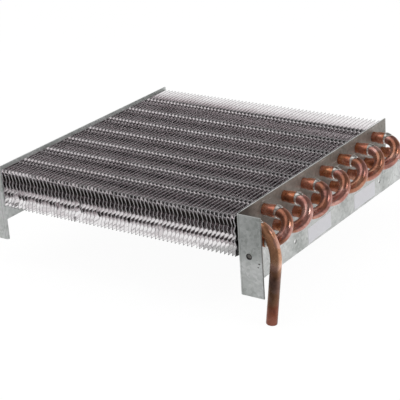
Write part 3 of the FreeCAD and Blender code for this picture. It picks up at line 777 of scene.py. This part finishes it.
# Studio. A pale floor just under the pipe's end. Metal mirrors it as white from the coil's
# front edge backwards and as dark in front of that.
floor_level, floor_reach = -0.0602, 4
corners = [(x * floor_reach, y * floor_reach, floor_level)
           for x, y in ((-1, -1), (1, -1), (1, 1), (-1, 1))]
floor_mesh = bpy.data.meshes.new("floor")
floor_mesh.from_pydata(corners, [], [(0, 1, 2, 3)])
floor = bpy.data.objects.new("floor", floor_mesh)
bpy.context.scene.collection.objects.link(floor)
floor_paint, place = new_material("white_studio_floor")
tone = add_node(floor_paint, "TexNoise", Vector=place, Scale=3.0, Detail=1.0).outputs["Fac"]
floor_tint = add_node(floor_paint, "ValToRGB", Fac=tone, stops=[
    (0.3, "#F4F4F4"), (0.7, "#F8F8F8")]).outputs["Color"]
matt = add_node(floor_paint, "BsdfDiffuse", Color=floor_tint).outputs["BSDF"]
ray = add_node(floor_paint, "LightPath")
depth = add_node(floor_paint, "SeparateXYZ", Vector=place).outputs["Y"]
bright = add_node(floor_paint, "MapRange", {"interpolation_type": "SMOOTHSTEP"}, Value=depth,
                  From_Min=-0.06, From_Max=0.05, To_Min=0.08).outputs["Result"]
bright = add_node(floor_paint, "Math", {"operation": "MAXIMUM"}, _0=bright,
                  _1=ray.outputs["Is Camera Ray"]).outputs["Value"]
bright = add_node(floor_paint, "Math", {"operation": "MULTIPLY"}, _0=bright,
                  _1=1.035).outputs["Value"]
shine = add_node(floor_paint, "Emission", Color=(1, 1, 1, 1), Strength=bright).outputs["Emission"]
direct = add_node(floor_paint, "Math", {"operation": "MAXIMUM"}, _0=ray.outputs["Is Camera Ray"],
                  _1=ray.outputs["Is Glossy Ray"]).outputs["Value"]
direct = add_node(floor_paint, "Math", {"operation": "MULTIPLY"}, _0=direct,
                  _1=0.92).outputs["Value"]
floor_shader = add_node(floor_paint, "MixShader", _0=direct, _1=matt, _2=shine).outputs["Shader"]
add_node(floor_paint, "OutputMaterial", Surface=floor_shader)
floor_mesh.materials.append(floor_paint)

# The surround is white to the camera. Metal mirrors it as white behind the coil and low down,
# and as dark in front and above. Other rays get a plain level of light from all round.
world = bpy.data.worlds.new("white_surround")
world.use_nodes = True
world.node_tree.nodes.clear()
ray = add_node(world, "LightPath")
way = add_node(world, "SeparateXYZ", Vector=add_node(world, "TexCoord").outputs["Generated"])
behind = add_node(world, "MapRange", {"interpolation_type": "SMOOTHSTEP"}, Value=way.outputs["Y"],
                  From_Min=-0.10, From_Max=0.60, To_Min=0.045).outputs["Result"]
overhead = add_node(world, "MapRange", {"interpolation_type": "SMOOTHSTEP"}, Value=way.outputs["Z"],
                    From_Min=0.15, From_Max=0.45, To_Min=1.0, To_Max=0.20).outputs["Result"]
mirrored = add_node(world, "Math", {"operation": "MULTIPLY"}, _0=behind,
                    _1=overhead).outputs["Value"]
# Straight in front it glows a little, which lights the collars from there.
ahead_glow = add_node(world, "MapRange", {"interpolation_type": "SMOOTHSTEP"},
                      Value=way.outputs["Y"], From_Min=-0.45, From_Max=-0.62,
                      To_Max=0.28).outputs["Result"]
mirrored = add_node(world, "Math", {"operation": "MAXIMUM"}, _0=mirrored,
                    _1=ahead_glow).outputs["Value"]
mirrored = add_node(world, "Math", {"operation": "MAXIMUM"}, _0=mirrored,
                    _1=ray.outputs["Is Camera Ray"]).outputs["Value"]
direct = add_node(world, "Math", {"operation": "MAXIMUM"}, _0=ray.outputs["Is Camera Ray"],
                  _1=ray.outputs["Is Glossy Ray"]).outputs["Value"]
level = add_node(world, "Mix", {"data_type": "FLOAT"}, _0=direct, _2=0.55,
                 _3=mirrored).outputs[0]
glow = add_node(world, "Background", Color=(1, 1, 1, 1), Strength=level).outputs["Background"]
add_node(world, "OutputWorld", Surface=glow)
bpy.context.scene.world = world


def set_up(name, data, right, above, back, at):
    """A lamp or camera in the scene, turned to three axes, with its place."""
    holder = bpy.data.objects.new(name, data)
    bpy.context.scene.collection.objects.link(holder)
    turned = np.eye(4)
    turned[:3] = np.stack([right, above, back, at], -1)
    holder.matrix_world = Matrix(turned.tolist())
    return holder


def add_lamp(name, power, size, at, towards):
    """A square soft lamp that faces a point."""
    lamp = bpy.data.lights.new(name, "AREA")
    lamp.energy, lamp.size = power, size
    back = np.array(at, float) - np.array(towards, float)
    back /= np.linalg.norm(back)
    right = np.cross((0, 0, 1), back)
    right /= np.linalg.norm(right)
    set_up(name, lamp, right, np.cross(back, right), back, at)


add_lamp("overhead_softbox", 5.0, 1.2, (-0.30, -0.30, 1.30), (0, 0.12, 0))
add_lamp("right_softbox", 3.2, 0.45, (1.30, 0.10, 0.75), (0.1, 0.1, 0))

scene = bpy.context.scene
scene.view_settings.view_transform = "Standard"
scene.cycles.glossy_bounces = 10  # light turns many times between the fins before it leaves them

# The camera stands where the photograph was taken: 36 degrees to the right of the front,
# 22 degrees up, and tilted 4 degrees about its own line of sight.
turn, rise, roll = math.radians(35.764), math.radians(21.851), math.radians(-4.008)
camera_place = (0.68694, -0.82669, 0.44967)
focal_pixels, frame_pixels = 1373.5, 400
ahead = np.array([-math.sin(turn) * math.cos(rise), math.cos(turn) * math.cos(rise),
                  -math.sin(rise)])
right = np.array([math.cos(turn), math.sin(turn), 0])
above = np.cross(right, ahead)
camera = bpy.data.cameras.new("camera")
camera.sensor_width = 36
camera.lens = camera.sensor_width * focal_pixels / frame_pixels
camera.clip_start, camera.clip_end = 0.05, 20
scene.camera = set_up("camera", camera, math.cos(roll) * right + math.sin(roll) * above,
                      -math.sin(roll) * right + math.cos(roll) * above, -ahead, camera_place)
